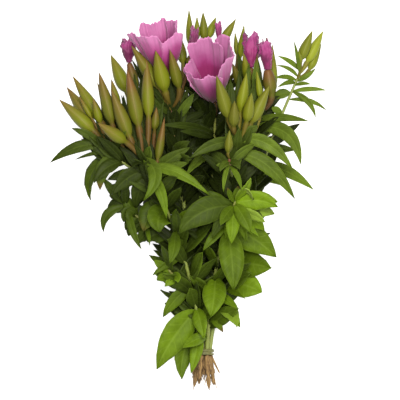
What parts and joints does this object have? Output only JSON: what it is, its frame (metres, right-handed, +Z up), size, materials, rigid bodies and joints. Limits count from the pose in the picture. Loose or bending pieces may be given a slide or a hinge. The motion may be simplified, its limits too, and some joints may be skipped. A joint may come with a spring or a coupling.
{
  "type": "bunch of godetia flowers",
  "caption": "Cut bunch of satin flowers lying on its side: leafy stems fanning from a tie to spindle buds and open pink cups, with root stubs below.",
  "frame": {"origin": "middle of the bunch's own box, at the height of the surface it lies on", "axes": "+Z up from the surface; +Y from the root ends to the flowers, along the bunch; +X to the right as seen from above with the flowers up"},
  "size_m": [0.275, 0.3802, 0.116],
  "materials": {
    "foliage": "satin",
    "petals": "satin",
    "stamens": "matte",
    "band": "matte"
  },
  "bodies": {
    "root": {"stem_left": "foliage", "stem_bloom_1": "foliage", "stem_back": "foliage", "stem_bloom_2": "foliage", "stem_front": "foliage", "stem_right": "foliage", "stem_far_right": "foliage", "bloom_1_petals": "petals", "bloom_2_petals": "petals", "opening_flower_1_petals": "petals", "opening_flower_2_petals": "petals", "opening_flower_3_petals": "petals", "opening_flower_4_petals": "petals", "opening_flower_5_petals": "petals", "bloom_1_stamens": "stamens", "bloom_2_stamens": "stamens", "tie_band": "band"}
  },
  "joints": []
}
